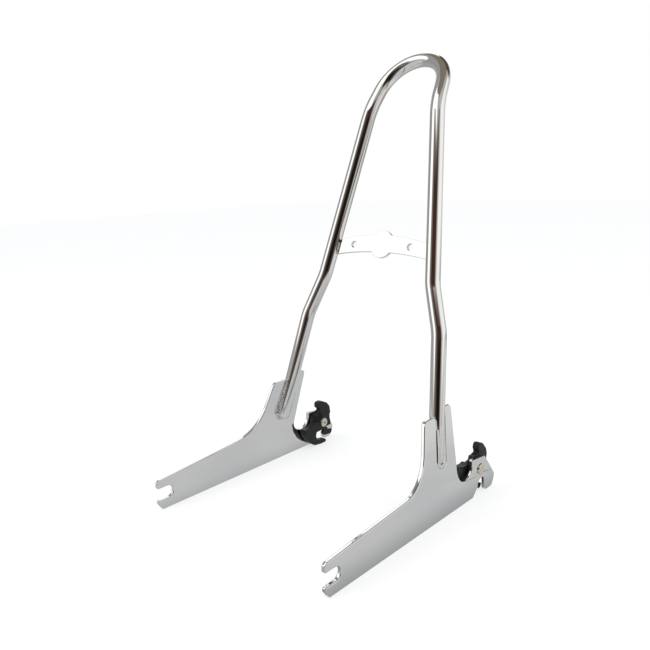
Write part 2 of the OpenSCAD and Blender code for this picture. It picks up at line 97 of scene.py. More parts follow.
# Ripples of a weld: radius, spacing, length as a share of the radius, unevenness and wander
ROUGH_RIPPLES = (BEAD_R * 1.3, 3.1, 0.62, 0.42, 0.75)
EVEN_RIPPLES = (BEAD_R, 1.3, 0.8, 0.08, 0.12)
PAD_RIPPLES = (1.9, 1.4, 0.9, 0.08, 0.1)
BAR_RIPPLES = (BAR_BEAD_R, 1.5, 0.7, 0.08, 0.12)

# Outer weld: the fill's rise over the plate, then the cover's thickness at the foot and at
# two distances up the tube, and how far outwards from the tube's axis the cover starts
WELD_RISE = 1.0
COVER_FOOT = 1.03
COVER_RUN = [(22, 1.025), (44, 0.975)]
COVER_FROM = 3.2
# Its rolled edge: radius, place behind the slot's front wall, depth in the plate's face, and
# the thickness at three heights above the foot
ROLL_R = 1.9
ROLL_BEHIND_WALL = 1.2
ROLL_SUNK = 0.5
ROLL_RUN = [(-1, 0.8), (14, 1.0), (30, 0.75)]

# Skins over welds and latches: the grid's step and the number of softening steps
OUTER_WELD_SKIN = (0.3, 5)
INNER_WELD_SKIN = (0.28, 3)
BAR_WELD_SKIN = (0.24, 3)
LATCH_SKIN = (0.36, 6)

# Pivots. Depths are measured inwards from the plate's middle plane: the outer head sits on
# the plate's outer face, and the inner one on its washer
PIVOT_Y, PIVOT_Z = 237.75, 28.2
PLATE_OUT = 2.25
HEAD_IN = 14.55
OUTER_HEAD_R, OUTER_HEAD_H = 6.25, 1.9
INNER_HEAD_R, INNER_HEAD_H = 5.2, 1.3
SHANK_R = 4.0
# The turned heads stay this far inside the solid ones
HEAD_TRIM_R, HEAD_TRIM_H = 0.03, 0.02
# The round rim of the outer head starts this far over the plate
RIM_FOOT = 0.1
# Bevel of the inner head: what the radius loses, at shares of the head's height
INNER_BEVEL = [(0.0, 0.55), (0.08, 0.68), (0.5, 0.92), (0.75, 0.98)]
# Its dimple: radius and depth below the head's flat
DIMPLE = [(1.8, 0.01), (1.5, 0.12), (1.42, 0.4), (1.36, 2.6), (0.9, 3.0), (0.0, 3.1)]


def place(x, y, z):
    """A place from the plates' corner in millimetres, in the frame's metres."""
    return Vector((x, y - CORNER_TO_ORIGIN, z)) * MM


def mirrored(p):
    return Vector((-p.x, p.y, p.z))


# Mesh helpers

def new_object(name, mesh, material):
    obj = bpy.data.objects.new(name, mesh)
    bpy.context.scene.collection.objects.link(obj)
    mesh.materials.clear()
    mesh.materials.append(material)
    return obj


def mesh_from(bm, name):
    mesh = bpy.data.meshes.new(name)
    bm.to_mesh(mesh)
    bm.free()
    return mesh


def outward(mesh):
    """Turns the faces of a closed mesh outwards."""
    bm = bmesh.new()
    bm.from_mesh(mesh)
    bmesh.ops.recalc_face_normals(bm, faces=bm.faces)
    if bm.calc_volume(signed=True) < 0:
        bmesh.ops.reverse_faces(bm, faces=bm.faces)
    bm.to_mesh(mesh)
    bm.free()


def applied(obj):
    """The object with its modifiers turned into plain mesh."""
    graph = bpy.context.evaluated_depsgraph_get()
    mesh = bpy.data.meshes.new_from_object(obj.evaluated_get(graph))
    name, old = obj.name, obj.data
    obj.modifiers.clear()
    obj.data = mesh
    bpy.data.meshes.remove(old)
    mesh.name = name
    return obj


def merged_copy(node, flat_angle):
    """A bmesh of a node of the model, with merged corners and whole flat faces."""
    bm = bmesh.new()
    bm.from_mesh(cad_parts[node].data)
    bmesh.ops.remove_doubles(bm, verts=bm.verts, dist=5e-6)
    bmesh.ops.dissolve_limit(bm, angle_limit=flat_angle, verts=bm.verts, edges=bm.edges)
    return bm


def rounded_edges(bm, radius):
    """Rounds the edges where two faces meet at a clear angle."""
    edges = [e for e in bm.edges if e.is_manifold and e.calc_face_angle(0.0) > EDGE_ANGLE]
    bmesh.ops.bevel(bm, geom=edges, offset=radius * MM, segments=EDGE_STEPS, profile=0.5,
                    affect="EDGES", clamp_overlap=False)


def flat_faces_shaded(obj, sharp_angle):
    """Smooth shading in which the large flat faces stay flat."""
    for face in obj.data.polygons:
        face.use_smooth = True
    obj.data.set_sharp_from_angle(angle=sharp_angle)
    weight = obj.modifiers.new("flat_faces", "WEIGHTED_NORMAL")
    weight.mode = "FACE_AREA"
    weight.weight = 90
    weight.keep_sharp = True
    return applied(obj)


# Geometry Nodes helpers

def new_tree(name, inputs):
    """A tree with a geometry input, the named inputs and a geometry output."""
    tree = bpy.data.node_groups.new(name, "GeometryNodeTree")
    tree.interface.new_socket("Geometry", in_out="INPUT", socket_type="NodeSocketGeometry")
    for label, kind in inputs:
        tree.interface.new_socket(label, in_out="INPUT", socket_type="NodeSocket" + kind)
    tree.interface.new_socket("Geometry", in_out="OUTPUT", socket_type="NodeSocketGeometry")
    return tree, tree.nodes.new("NodeGroupInput"), tree.nodes.new("NodeGroupOutput")


def with_tree(obj, tree, values):
    """Puts the tree on the object with its inputs set, and keeps the mesh it makes."""
    modifier = obj.modifiers.new(tree.name, "NODES")
    modifier.node_group = tree
    for item in tree.interface.items_tree:
        if item.in_out == "INPUT" and item.name in values:
            modifier[item.identifier] = values[item.name]
    return applied(obj)


def path_object(name, points):
    """A row of places, joined by edges."""
    mesh = bpy.data.meshes.new(name)
    edges = [(i, i + 1) for i in range(len(points) - 1)]
    mesh.from_pydata([tuple(p) for p in points], edges, [])
    obj = bpy.data.objects.new(name, mesh)
    bpy.context.scene.collection.objects.link(obj)
    return obj


def point_values(obj, name, values):
    attribute = obj.data.attributes.new(name, "FLOAT", "POINT")
    for item, value in zip(attribute.data, values):
        item.value = value


# Materials

class Shader:
    """A material with one Principled shader and short ways to wire its nodes."""

    def __init__(self, name, colour, metallic, roughness):
        self.material = bpy.data.materials.new(name)
        self.material.use_nodes = True
        self.nodes = self.material.node_tree.nodes
        self.links = self.material.node_tree.links
        self.skin = self.nodes["Principled BSDF"]
        self.skin.inputs["Base Color"].default_value = (*colour, 1.0)
        self.skin.inputs["Metallic"].default_value = metallic
        self.skin.inputs["Roughness"].default_value = roughness
        self.material.diffuse_color = (*colour, 1.0)
        self.coords = self.nodes.new("ShaderNodeTexCoord")

    def noise(self, scale, detail=4.0, roughness=0.55, stretch=(1, 1, 1), distortion=0.0):
        mapping = self.nodes.new("ShaderNodeMapping")
        mapping.inputs["Scale"].default_value = stretch
        self.links.new(self.coords.outputs["Object"], mapping.inputs["Vector"])
        noise = self.nodes.new("ShaderNodeTexNoise")
        noise.inputs["Scale"].default_value = scale
        noise.inputs["Detail"].default_value = detail
        noise.inputs["Roughness"].default_value = roughness
        noise.inputs["Distortion"].default_value = distortion
        self.links.new(mapping.outputs["Vector"], noise.inputs["Vector"])
        return noise.outputs["Fac"]

    def ranged(self, value, low, high, from_low=0.0, from_high=1.0):
        node = self.nodes.new("ShaderNodeMapRange")
        node.inputs["From Min"].default_value = from_low
        node.inputs["From Max"].default_value = from_high
        node.inputs["To Min"].default_value = low
        node.inputs["To Max"].default_value = high
        self.links.new(value, node.inputs["Value"])
        return node.outputs["Result"]

    def ramp(self, value, stops):
        node = self.nodes.new("ShaderNodeValToRGB")
        while len(node.color_ramp.elements) < len(stops):
            node.color_ramp.elements.new(0.5)
        for element, (at, colour) in zip(node.color_ramp.elements, stops):
            element.position = at
            element.color = (*colour, 1.0)
        self.links.new(value, node.inputs["Fac"])
        return node.outputs["Color"]

    def colour(self, value):
        self.links.new(value, self.skin.inputs["Base Color"])

    def roughness(self, value):
        self.links.new(value, self.skin.inputs["Roughness"])

    def bump(self, height, strength, distance, under=None):
        node = self.nodes.new("ShaderNodeBump")
        node.inputs["Strength"].default_value = strength
        node.inputs["Distance"].default_value = distance
        self.links.new(height, node.inputs["Height"])
        if under is not None:
            self.links.new(under, node.inputs["Normal"])
        self.links.new(node.outputs["Normal"], self.skin.inputs["Normal"])
        return node.outputs["Normal"]


def chrome(name, colour, roughness, wave, haze):
    """Bright chrome: faint waves of the polished steel under it, and a light haze."""
    skin = Shader(name, colour, 1.0, roughness)
    clouds = skin.noise(45, detail=3.0)
    skin.roughness(skin.ranged(clouds, roughness, roughness + haze, 0.35, 0.75))
    darker = tuple(c * 0.975 for c in colour)
    skin.colour(skin.ramp(skin.noise(22, detail=2.0), [(0.35, darker), (0.65, colour)]))
    polish = skin.bump(skin.noise(90, detail=2.0), 0.2, wave * MM)
    skin.bump(skin.noise(1400, detail=2.0, stretch=(1, 0.2, 1)), 0.06, 0.006 * MM, under=polish)
    return skin.material


def tube_chrome():
    return chrome("tube_chrome", (0.75, 0.75, 0.74), 0.02, 0.012, 0.02)


def plate_chrome():
    return chrome("plate_chrome", (0.74, 0.745, 0.74), 0.03, 0.012, 0.03)


def bar_chrome():
    return chrome("bar_chrome", (0.78, 0.78, 0.77), 0.03, 0.012, 0.03)


def smooth_weld():
    """Ground and chromed weld: soft waves and a few shallow pits."""
    skin = Shader("smooth_weld", (0.73, 0.735, 0.73), 1.0, 0.08)
    skin.roughness(skin.ranged(skin.noise(160), 0.05, 0.13))
    skin.colour(skin.ramp(skin.noise(90), [(0.3, (0.69, 0.70, 0.69)), (0.7, (0.74, 0.75, 0.74))]))
    waves = skin.bump(skin.noise(170, detail=2.0), 0.4, 0.12 * MM)
    skin.bump(skin.noise(1500, detail=3.0), 0.15, 0.015 * MM, under=waves)
    return skin.material


def rough_weld():
    """Chrome over an unground weld: dull in the hollows, bright on the ripples."""
    skin = Shader("rough_weld", (0.62, 0.62, 0.60), 1.0, 0.14)
    skin.roughness(skin.ranged(skin.noise(420), 0.08, 0.24))
    skin.colour(skin.ramp(skin.noise(260), [(0.3, (0.52, 0.52, 0.50)), (0.7, (0.76, 0.76, 0.74))]))
    lumps = skin.bump(skin.noise(240, detail=2.0), 0.9, 0.7 * MM)
    skin.bump(skin.noise(2200, detail=3.0), 0.35, 0.06 * MM, under=lumps)
    return skin.material


def latch_plastic():
    """Black moulded plastic with a fine eroded grain, a little polished by thumbs."""
    skin = Shader("latch_plastic", (0.010, 0.011, 0.012), 0.0, 0.45)
    skin.skin.inputs["Specular IOR Level"].default_value = 0.28
    skin.roughness(skin.ranged(skin.noise(90), 0.36, 0.56, 0.3, 0.7))
    skin.colour(skin.ramp(skin.noise(600, detail=5.0),
                          [(0.3, (0.007, 0.008, 0.009)), (0.7, (0.014, 0.015, 0.016))]))
    flow = skin.bump(skin.noise(140, detail=2.0), 0.3, 0.08 * MM)
    skin.bump(skin.noise(3600, detail=2.0), 0.35, 0.03 * MM, under=flow)
    return skin.material


def nickel():
    """Warm nickel plating with fine turning rings' haze."""
    skin = Shader("nickel", (0.72, 0.67, 0.58), 1.0, 0.16)
    skin.roughness(skin.ranged(skin.noise(300), 0.11, 0.24))
    skin.colour(skin.ramp(skin.noise(240), [(0.3, (0.62, 0.57, 0.49)), (0.7, (0.76, 0.71, 0.62))]))
    skin.bump(skin.noise(900, detail=3.0), 0.3, 0.04 * MM)
    return skin.material


def plain_steel():
    """Bare turned steel, slightly stained."""
    skin = Shader("plain_steel", (0.56, 0.55, 0.53), 1.0, 0.3)
    skin.roughness(skin.ranged(skin.noise(350), 0.22, 0.42))
    skin.colour(skin.ramp(skin.noise(200), [(0.3, (0.44, 0.43, 0.41)), (0.7, (0.60, 0.59, 0.57))]))
    skin.bump(skin.noise(1200, detail=3.0), 0.3, 0.03 * MM)
    return skin.material


# Tube hoop

def bent_tube_tree():
    """Sweeps a round section along a line of corners, each with its own bend radius."""
    tree, given, made = new_tree("bent_tube", [
        ("Tube Radius", "Float"), ("Bend Steps", "Int"), ("Round Sides", "Int"),
        ("Finish", "Material")])
    nodes, links = tree.nodes, tree.links
    line = nodes.new("GeometryNodeMeshToCurve")
    bend_radius = nodes.new("GeometryNodeInputNamedAttribute")
    bend_radius.data_type = "FLOAT"
    bend_radius.inputs["Name"].default_value = "bend_radius"
    thickness = nodes.new("GeometryNodeInputNamedAttribute")
    thickness.data_type = "FLOAT"
    thickness.inputs["Name"].default_value = "thickness"
    bends = nodes.new("GeometryNodeFilletCurve")
    bends.mode = "POLY"
    ring = nodes.new("GeometryNodeCurvePrimitiveCircle")
    sweep = nodes.new("GeometryNodeCurveToMesh")
    sweep.inputs["Fill Caps"].default_value = True
    smooth = nodes.new("GeometryNodeSetShadeSmooth")
    realize = nodes.new("GeometryNodeRealizeInstances")
    finish = nodes.new("GeometryNodeSetMaterial")
    links.new(given.outputs["Geometry"], line.inputs["Mesh"])
    links.new(line.outputs["Curve"], bends.inputs["Curve"])
    links.new(given.outputs["Bend Steps"], bends.inputs["Count"])
    links.new(bend_radius.outputs["Attribute"], bends.inputs["Radius"])
    links.new(given.outputs["Round Sides"], ring.inputs["Resolution"])
    links.new(given.outputs["Tube Radius"], ring.inputs["Radius"])
    links.new(bends.outputs["Curve"], sweep.inputs["Curve"])
    links.new(ring.outputs["Curve"], sweep.inputs["Profile Curve"])
    links.new(thickness.outputs["Attribute"], sweep.inputs["Scale"])
    links.new(sweep.outputs["Mesh"], smooth.inputs["Geometry"])
    links.new(smooth.outputs["Geometry"], realize.inputs["Geometry"])
    links.new(realize.outputs["Geometry"], finish.inputs["Geometry"])
    links.new(given.outputs["Finish"], finish.inputs["Material"])
    links.new(finish.outputs["Geometry"], made.inputs["Geometry"])
    return tree


def tube_hoop(tree, material):
    """One bent tube: two legs with their bends, the arch, and a domed foot on each leg."""
    foot = place(*FOOT)
    corners = [place(*c) for c in LEG_CORNERS]
    down = (foot - corners[0]).normalized()
    dome = []
    for i in range(DOME_STEPS, 0, -1):
        a = DOME_END * i / DOME_STEPS
        dome.append((foot + down * FOOT_DOME * MM * math.sin(a), math.cos(a)))
    left = [(p, 0.0, t) for p, t in dome] + [(foot, 0.0, 1.0)]
    left += [(c, r * MM, 1.0) for c, r in zip(corners, LEG_BENDS)]
    whole = left + [(place(*PEAK), ARCH_R * MM, 1.0)]
    whole += [(mirrored(p), r, t) for p, r, t in reversed(left)]
    obj = path_object("tube_hoop", [p for p, r, t in whole])
    point_values(obj, "bend_radius", [r for p, r, t in whole])
    point_values(obj, "thickness", [t for p, r, t in whole])
    with_tree(obj, tree, {
        "Tube Radius": TUBE_R * MM, "Bend Steps": BEND_SIDES, "Round Sides": ROUND_SIDES,
        "Finish": material})
    outward(obj.data)
    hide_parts("hoop")
    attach(obj, "frame")
    return obj


# Side plates

def neck_height(y, z):
    """How far a place lies above the bend line, along the neck."""
    return (y - BEND_LINE_POINT[0]) * BEND_UP[0] + (z - BEND_LINE_POINT[1]) * BEND_UP[1]


def neck_face(s, side):
    """How far outwards from the middle of the flat plate the outer (1) or inner (-1) face
    lies at a height s above the bend line. Below zero it lies inwards of that middle."""
    r = BEND_R + side * PLATE_T / 2
    end = r * math.sin(BEND_ANGLE)
    if s <= 0:
        return side * PLATE_T / 2
    if s < end:
        return math.sqrt(r * r - s * s) - BEND_R
    return r * math.cos(BEND_ANGLE) - BEND_R - (s - end) * math.tan(BEND_ANGLE)


def side_plate(name, hand, material):
    """Plate with a smooth bend at the neck and rounded edges all round."""
    bm = merged_copy("side_plate_" + name, math.radians(0.4))
    origin = place(0, *BEND_LINE_POINT)
    up = Vector((0, BEND_UP[0], BEND_UP[1])).normalized()
    top = (BEND_R + PLATE_T / 2) * math.sin(BEND_ANGLE)
    for i in range(BEND_STEPS + 1):
        bmesh.ops.bisect_plane(bm, geom=bm.verts[:] + bm.edges[:] + bm.faces[:], dist=1e-7,
                               plane_co=origin + up * (top * i / BEND_STEPS) * MM,
                               plane_no=up)
    last_y = (NOTCH_Y - CORNER_TO_ORIGIN) * MM + 1e-6
    for v in bm.verts:
        s = (v.co - origin).dot(up) / MM
        if s <= 0 or v.co.y > last_y:
            continue
        x = abs(v.co.x) / MM - PLATE_X
        side = min((1, -1), key=lambda k: abs(x - neck_face(s, k)))
        v.co.x = hand * (PLATE_X + neck_face(s, side)) * MM
    rounded_edges(bm, PLATE_EDGE_R)
    obj = new_object("side_plate_" + name + "_rounded", mesh_from(bm, name), material)
    flat_faces_shaded(obj, SHARP_ANGLE)
    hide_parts("side_plate_" + name)
    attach(obj, "frame")
    return obj


# Crossbar

def crossbar(material):
    bm = merged_copy("crossbar", math.radians(0.2))
    rounded_edges(bm, BAR_EDGE_R)
    obj = new_object("crossbar_rounded", mesh_from(bm, "crossbar_rounded"), material)
    flat_faces_shaded(obj, SHARP_ANGLE)
    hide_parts("crossbar")
    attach(obj, "frame")
    return obj


# Welds

def weld_bead_tree():
    """Lays overlapping ripples of weld along a line."""
    tree, given, made = new_tree("weld_bead", [
        ("Bead Radius", "Float"), ("Ripple Spacing", "Float"), ("Ripple Length", "Float"),
        ("Unevenness", "Float"), ("Wander", "Float"), ("Seed", "Int"), ("Finish", "Material")])
    nodes, links = tree.nodes, tree.links
    line = nodes.new("GeometryNodeMeshToCurve")
    spots = nodes.new("GeometryNodeCurveToPoints")
    spots.mode = "LENGTH"
    drop = nodes.new("GeometryNodeMeshIcoSphere")
    drop.inputs["Subdivisions"].default_value = 3
    least = nodes.new("ShaderNodeMath")
    least.operation = "SUBTRACT"
    least.inputs[0].default_value = 1.0
    swell = nodes.new("FunctionNodeRandomValue")
    swell.data_type = "FLOAT"
    swell.inputs[3].default_value = 1.0
    size = nodes.new("ShaderNodeCombineXYZ")
    lay = nodes.new("GeometryNodeInstanceOnPoints")
    back = nodes.new("ShaderNodeMath")
    back.operation = "MULTIPLY"
    back.inputs[1].default_value = -1.0
    low = nodes.new("ShaderNodeCombineXYZ")
    high = nodes.new("ShaderNodeCombineXYZ")
    sway = nodes.new("FunctionNodeRandomValue")
    sway.data_type = "FLOAT_VECTOR"
    shift = nodes.new("GeometryNodeSetPosition")
    realize = nodes.new("GeometryNodeRealizeInstances")
    finish = nodes.new("GeometryNodeSetMaterial")
    links.new(given.outputs["Geometry"], line.inputs["Mesh"])
    links.new(line.outputs["Curve"], spots.inputs["Curve"])
    links.new(given.outputs["Ripple Spacing"], spots.inputs["Length"])
    links.new(given.outputs["Bead Radius"], drop.inputs["Radius"])
    links.new(given.outputs["Unevenness"], least.inputs[1])
    links.new(least.outputs["Value"], swell.inputs[2])
    links.new(given.outputs["Seed"], swell.inputs["Seed"])
    links.new(swell.outputs[1], size.inputs["X"])
    links.new(swell.outputs[1], size.inputs["Y"])
    links.new(given.outputs["Ripple Length"], size.inputs["Z"])
    links.new(given.outputs["Wander"], back.inputs[0])
    for axis in "XYZ":
        links.new(back.outputs["Value"], low.inputs[axis])
        links.new(given.outputs["Wander"], high.inputs[axis])
    links.new(low.outputs["Vector"], sway.inputs[0])
    links.new(high.outputs["Vector"], sway.inputs[1])
    links.new(given.outputs["Seed"], sway.inputs["Seed"])
    links.new(spots.outputs["Points"], shift.inputs["Geometry"])
    links.new(sway.outputs[0], shift.inputs["Offset"])
    links.new(shift.outputs["Geometry"], lay.inputs["Points"])
    links.new(drop.outputs["Mesh"], lay.inputs["Instance"])
    links.new(spots.outputs["Rotation"], lay.inputs["Rotation"])
    links.new(size.outputs["Vector"], lay.inputs["Scale"])
    links.new(lay.outputs["Instances"], realize.inputs["Geometry"])
    links.new(realize.outputs["Geometry"], finish.inputs["Geometry"])
    links.new(given.outputs["Finish"], finish.inputs["Material"])
    links.new(finish.outputs["Geometry"], made.inputs["Geometry"])
    return tree


def bead(name, places, tree, material, ripples, seed):
    """One weld bead along a row of places."""
    radius, spacing, length, unevenness, wander = ripples
    return with_tree(path_object(name, places), tree, {
        "Bead Radius": radius * MM, "Ripple Spacing": spacing * MM, "Ripple Length": length,
        "Unevenness": unevenness, "Wander": wander * MM, "Seed": seed, "Finish": material})


def one_skin(obj, material, skin):
    """Covers the object with one closed skin that softens its edges a little."""
    grid, softening = skin
    cover = obj.modifiers.new("one_skin", "REMESH")
    cover.mode = "VOXEL"
    cover.voxel_size = grid * MM
    flow = obj.modifiers.new("flow", "SMOOTH")
    flow.factor = 0.5
    flow.iterations = softening
    applied(obj)
    outward(obj.data)
    for face in obj.data.polygons:
        face.use_smooth = True
    obj.data.materials.clear()
    obj.data.materials.append(material)
    return obj


def joined(name, parts, material, skin):
    """Several overlapping forms as one closed skin, like metal that has run together."""
    bm = bmesh.new()
    for part in parts:
        bm.from_mesh(part.data)
        mesh = part.data
        bpy.data.objects.remove(part)
        bpy.data.meshes.remove(mesh)
    return one_skin(new_object(name, mesh_from(bm, name), material), material, skin)


def slot_wall(side, z):
    """Where the front (-1) or rear (1) wall of the tube's slot lies at a height z."""
    return FOOT[1] + side * SLOT_HALF / math.cos(LOW_BACK) + (z - FOOT[2]) * math.tan(LOW_BACK)


def weld_fill(name, hand, material):
    """The weld's own solid, with its outer part raised over the plate's face."""
    bm = merged_copy("outer_weld_" + name, math.radians(0.2))
    for v in bm.verts:
        s = (v.co - place(0, *BEND_LINE_POINT)).dot(Vector((0, *BEND_UP))) / MM
        x = abs(v.co.x) / MM - PLATE_X
        if x > neck_face(s, -1) + PLATE_T / 2:
            v.co.x += hand * WELD_RISE * MM
    return new_object("fill", mesh_from(bm, "fill"), material)


def swept(name, run, tree, material, radius, sides):
    """A round bar along a run of places with their thickness."""
    obj = path_object(name, [p for p, t in run])
    point_values(obj, "bend_radius", [0.0] * len(run))
    point_values(obj, "thickness", [t for p, t in run])
    return with_tree(obj, tree, {
        "Tube Radius": radius * MM, "Bend Steps": 1, "Round Sides": sides, "Finish": material})


def weld_cover(hand, tube_tree, material):
    """The run of weld over the foot of the tube, on its outer side only."""
    foot, knee = place(*FOOT), place(*LEG_CORNERS[0])
    if hand < 0:
        foot, knee = mirrored(foot), mirrored(knee)
    along = (knee - foot).normalized()
    run = []
    for a in (88, 75, 60, 45, 30, 15):
        turn = math.radians(a)
        run.append((foot - along * FOOT_DOME * MM * math.sin(turn), math.cos(turn) * COVER_FOOT))
    run.append((foot, COVER_FOOT))
    run += [(foot + along * distance * MM, thickness) for distance, thickness in COVER_RUN]
    cover = swept("cover", run, tube_tree, material, TUBE_R, ROUND_SIDES)
    half = bmesh.new()
    half.from_mesh(cover.data)
    middle = place(hand * (FOOT[0] + COVER_FROM), FOOT[1], FOOT[2])
    lean = Vector((hand * math.cos(BEND_ANGLE), 0, math.sin(BEND_ANGLE)))
    cut = bmesh.ops.bisect_plane(half, geom=half.verts[:] + half.edges[:] + half.faces[:],
                                 plane_co=middle, plane_no=lean, clear_inner=True)
    rim = [e for e in cut["geom_cut"] if isinstance(e, bmesh.types.BMEdge)]
    bmesh.ops.holes_fill(half, edges=rim)
    half.to_mesh(cover.data)
    half.free()
    return cover


def weld_rolled_edge(hand, tube_tree, material):
    """The rolled edge along the slot's front wall."""
    run = []
    for height, thickness in ROLL_RUN:
        z = FOOT[2] + height
        y = slot_wall(-1, z) + ROLL_BEHIND_WALL
        x = PLATE_X + neck_face(neck_height(y, z), 1) - ROLL_SUNK
        run.append((place(hand * x, y, z), thickness))
    return swept("edge", run, tube_tree, material, ROLL_R, 32)


def outer_weld(name, hand, tube_tree, material):
    """Ground weld that runs from the plate's face up onto the tube and covers its foot."""
    parts = [weld_fill(name, hand, material), weld_cover(hand, tube_tree, material),
             weld_rolled_edge(hand, tube_tree, material)]
    obj = joined("outer_weld_" + name + "_ground", parts, material, OUTER_WELD_SKIN)
    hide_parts("outer_weld_" + name)
    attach(obj, "frame")
    return obj


def inner_run(hand, side, top):
    """The ends of a run on the plate's inner face, in front of the tube (-1) or behind it (1)."""
    ends = []
    for z in (FOOT[2] + BEAD_BOTTOM_RISE, top):
        y = slot_wall(side, z)
        ends.append(place(hand * (PLATE_X + neck_face(neck_height(y, z), -1)), y, z))
    return ends


def around_foot(hand):
    """Places in a half circle on the plate's inner face, under the foot of the tube."""
    places = []
    for a in range(180, 361, 20):
        turn = math.radians(a) - LOW_BACK
        y = FOOT[1] + (SLOT_HALF + PAD_GAP) * math.cos(turn)
        z = FOOT[2] + (SLOT_HALF + PAD_GAP) * math.sin(turn)
        x = PLATE_X + neck_face(neck_height(y, z), -1) + PAD_STAND
        places.append(place(hand * x, y, z))
    return places


def inner_weld(name, hand, tree, material):
    """The rough run in front of the tube, the even one behind it and a pad under its foot."""
    parts = []
    for side, top, ripples, seed in ((-1, BEAD_TOP_FRONT, ROUGH_RIPPLES, 3),
                                     (1, BEAD_TOP_REAR, EVEN_RIPPLES, 8)):
        low, high = inner_run(hand, side, top)
        parts.append(bead("bead", [low, low.lerp(high, 0.5), high], tree, material, ripples,
                          seed + (hand > 0)))
    parts.append(bead("pad", around_foot(hand), tree, material, PAD_RIPPLES, 14 + (hand > 0)))
    obj = joined("inner_weld_" + name + "_rippled", parts, material, INNER_WELD_SKIN)
    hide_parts("inner_weld_" + name)
    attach(obj, "frame")
    return obj


def crossbar_weld(name, hand, tree, material):
    """Beads in front of the crossbar and behind it, along the leg."""
    parts = []
    lowest = BAR_LOW - BAR_END_X ** 2 / (2 * BAR_LOW_ARC_R) + BAR_BEAD_R
    highest = BAR_HIGH - BAR_END_X ** 2 / (2 * BAR_HIGH_ARC_R) - BAR_BEAD_R
    upright = Matrix.Rotation(math.radians(90) - BAR_LEAN, 3, "X")
    for depth, seed in ((BAR_FRONT, 21), (BAR_BACK, 27)):
        reach = BAR_END_X - math.sqrt(TUBE_R ** 2 - depth ** 2)
        ends = []
        for height in (lowest, highest):
            across = reach - math.tan(LEG_LEAN_IN) * height
            p = upright @ Vector((across, height, depth)) + Vector(BAR_CENTRE)
            ends.append(place(hand * p.x, p.y, p.z))
        low, high = ends
        parts.append(bead("bead", [low, low.lerp(high, 0.5), high], tree, material, BAR_RIPPLES,
                          seed + (hand > 0)))
    obj = joined("crossbar_weld_" + name + "_rippled", parts, material, BAR_WELD_SKIN)
    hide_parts("crossbar_weld_" + name)
    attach(obj, "frame")
    return obj


# Latches

def latch(name, material):
    """Moulded latch: the solid's shape with the soft edges of a moulding."""
    bm = merged_copy("latch_" + name, math.radians(0.2))
    obj = new_object("latch_" + name + "_moulded", mesh_from(bm, name), material)
    one_skin(obj, material, LATCH_SKIN)
    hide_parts("latch_" + name)
    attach(obj, "latch_" + name)
    return obj


# Rivets

def turned(name, profile, hand, material, steps=72):
    """Turns a profile of (radius, distance inwards) about the pivot's axis."""
    bm = bmesh.new()
    rings = []
    for radius, inward in profile:
        ring = []
        for i in range(steps if radius > 0 else 1):
            a = 2 * math.pi * i / steps
            ring.append(bm.verts.new(place(
                hand * (PLATE_X - inward), PIVOT_Y + radius * math.cos(a),
                PIVOT_Z + radius * math.sin(a))))
        rings.append(ring)
    for lower, upper in zip(rings, rings[1:]):
        for i in range(steps):
            j = (i + 1) % steps
            quad = [lower[i % len(lower)], lower[j % len(lower)],
                    upper[j % len(upper)], upper[i % len(upper)]]
            bm.faces.new(list(dict.fromkeys(quad)))
    mesh = mesh_from(bm, name)
    outward(mesh)
    obj = new_object(name, mesh, material)
    return flat_faces_shaded(obj, math.radians(45))


def outer_head():
    """Profile of the flat outer head with its round rim, from the middle to the plate."""
    out = -PLATE_OUT
    rim_r = OUTER_HEAD_H - RIM_FOOT - HEAD_TRIM_H
    rim_at = OUTER_HEAD_R - HEAD_TRIM_R - rim_r
    profile = [(0.0, out - OUTER_HEAD_H + HEAD_TRIM_H),
               (0.5 * rim_at, out - OUTER_HEAD_H + HEAD_TRIM_R)]
    for a in range(0, 91, 9):
        turn = math.radians(a)
        profile.append((rim_at + rim_r * math.sin(turn), out - RIM_FOOT - rim_r * math.cos(turn)))
    profile.append((OUTER_HEAD_R - HEAD_TRIM_R, out - HEAD_TRIM_H))
    return profile


def inner_head():
    """Profile of the bevelled, dimpled inner head, from the washer to the dimple's bottom."""
    r, h = INNER_HEAD_R - HEAD_TRIM_H, INNER_HEAD_H
    profile = [(r - 0.15, HEAD_IN + HEAD_TRIM_H), (r - 0.03, HEAD_IN + 0.08)]
    profile += [(r - less, HEAD_IN + share * h) for less, share in INNER_BEVEL]
    return profile + [(radius, HEAD_IN + h - depth) for radius, depth in DIMPLE]


def rivet(name, hand, material):
    """A shank between the two heads."""
    shank = [(SHANK_R, -PLATE_OUT - HEAD_TRIM_H), (SHANK_R, HEAD_IN + HEAD_TRIM_H)]
    profile = outer_head() + shank + inner_head()
    obj = turned("rivet_" + name + "_turned", profile, hand, material)
    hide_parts("rivet_" + name)
    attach(obj, "frame")
    return obj


def dressed(node, material):
    """A node of the model that keeps its own shape."""
    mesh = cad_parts[node].data
    mesh.materials.clear()
    mesh.materials.append(material)


# Surroundings

